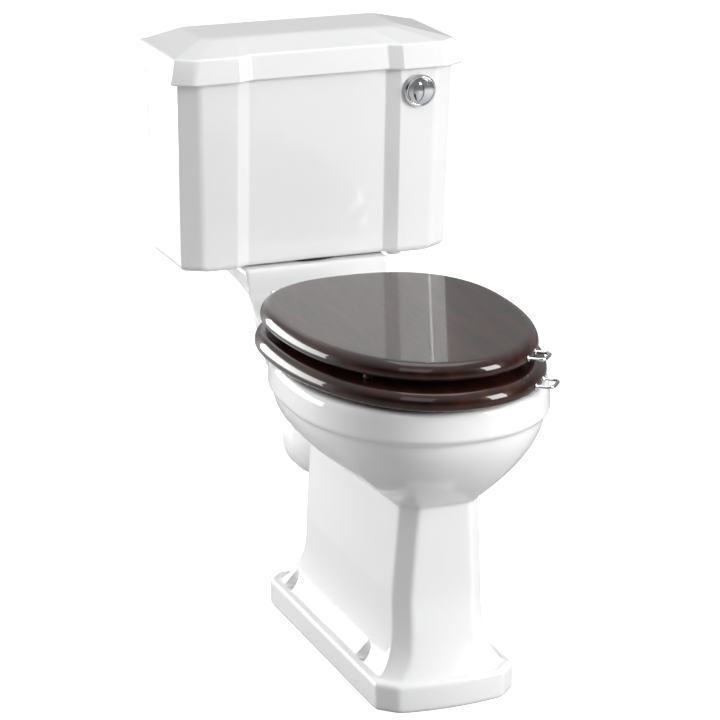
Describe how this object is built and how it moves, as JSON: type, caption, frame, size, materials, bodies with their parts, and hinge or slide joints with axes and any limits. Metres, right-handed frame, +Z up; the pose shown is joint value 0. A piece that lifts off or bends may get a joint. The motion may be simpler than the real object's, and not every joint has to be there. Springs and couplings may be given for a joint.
{
  "type": "close coupled toilet",
  "caption": "Close coupled floor toilet: white glazed pan on a stepped pedestal, faceted cistern with a chrome push button, glossy dark wooden seat and lid, and its flush parts.",
  "frame": {"origin": "on the floor, under the middle of the whole object", "axes": "+Z up; the front of the seat faces -Y and the wall is at +Y; +X is to the right seen from the front"},
  "size_m": [0.434, 0.744, 0.81],
  "materials": {
    "china": "bright white vitreous china with a clear high gloss glaze",
    "mahogany": "dark red mahogany under thick glossy lacquer",
    "chrome": "polished chrome plate",
    "rubber": "matt black rubber",
    "white_plastic": "moulded off-white plastic with a light satin texture",
    "blue_plastic": "moulded blue plastic with a light satin texture",
    "cable_sheath": "smooth dark plastic cable sheath",
    "brass": "turned brass"
  },
  "bodies": {
    "root": {"button_back_nut": "white_plastic", "button_bezel": "chrome", "button_gasket": "rubber", "cable_actuator": "white_plastic", "cistern_tank": "china", "coupling_bolt_left": "brass", "coupling_bolt_right": "brass", "coupling_gasket": "rubber", "coupling_washer_left": "rubber", "coupling_washer_right": "rubber", "coupling_wing_nut_left": "brass", "coupling_wing_nut_right": "brass", "fill_valve_back_nut": "white_plastic", "fill_valve_body": "white_plastic", "fill_valve_pin": "brass", "fill_valve_washer": "rubber", "flush_cable": "cable_sheath", "flush_valve_back_nut": "white_plastic", "flush_valve_body": "white_plastic", "flush_valve_washer": "rubber", "hinge_pillar_left": "chrome", "hinge_pillar_right": "chrome", "hinge_rod": "chrome", "hinge_washer_left": "rubber", "hinge_washer_right": "rubber", "hinge_wing_nut_left": "chrome", "hinge_wing_nut_right": "chrome", "pan": "china", "rod_cap_left": "chrome", "rod_cap_right": "chrome"},
    "seat": {"seat_ring": "mahogany", "seat_handle": "chrome", "seat_buffer_front_left": "rubber", "seat_buffer_front_right": "rubber", "seat_buffer_rear_left": "rubber", "seat_buffer_rear_right": "rubber", "seat_hinge_bracket_left": "chrome", "seat_hinge_bracket_right": "chrome"},
    "lid": {"seat_lid": "mahogany", "lid_handle": "chrome", "lid_buffer_front_left": "rubber", "lid_buffer_front_right": "rubber", "lid_buffer_rear_left": "rubber", "lid_buffer_rear_right": "rubber", "lid_hinge_bracket_left": "chrome", "lid_hinge_bracket_right": "chrome"},
    "large_button": {"large_flush_button": "chrome"},
    "small_button": {"small_flush_button": "chrome"},
    "cistern_cover": {"cistern_lid": "china"},
    "flush_valve": {"flush_valve_standpipe": "blue_plastic", "flush_valve_seal": "rubber"},
    "float": {"fill_valve_float": "blue_plastic"},
    "float_lever": {"fill_valve_lever": "white_plastic"}
  },
  "joints": [
    {"name": "seat_hinge", "type": "hinge", "parent": "root", "child": "seat", "pos_m": [0, 0.126, 0.471], "axis": [-1, 0, 0], "range_deg": [0, 93]},
    {"name": "lid_hinge", "type": "hinge", "parent": "seat", "child": "lid", "pos_m": [0, 0.126, 0.471], "axis": [1, 0, 0], "range_deg": [-93, 0]},
    {"name": "large_button_slide", "type": "slide", "parent": "root", "child": "large_button", "axis": [0, 0.998, 0.0637], "range_m": [0, 0.004], "stiffness_N_per_m": 250, "springref_m": -0.002},
    {"name": "small_button_slide", "type": "slide", "parent": "root", "child": "small_button", "axis": [0, 0.998, 0.0637], "range_m": [0, 0.004], "stiffness_N_per_m": 250, "springref_m": -0.002},
    {"name": "cistern_lid_lift", "type": "slide", "parent": "root", "child": "cistern_cover", "axis": [0, 0, 1], "range_m": [0, 0.15]},
    {"name": "flush_valve_lift", "type": "slide", "parent": "root", "child": "flush_valve", "axis": [0, 0, 1], "range_m": [0, 0.018]},
    {"name": "float_lift", "type": "slide", "parent": "root", "child": "float", "axis": [0, 0, 1], "range_m": [0, 0.012]},
    {"name": "float_lever_hinge", "type": "hinge", "parent": "root", "child": "float_lever", "pos_m": [0.148, 0.2725, 0.686], "axis": [-1, 0, 0], "range_deg": [0, 25.1]}
  ],
  "couplings": [
    {"joint": "flush_valve_lift", "follows": "large_button_slide", "ratio": 4.5},
    {"joint": "float_lever_hinge", "follows": "float_lift", "rad_per_m": 36.364}
  ]
}
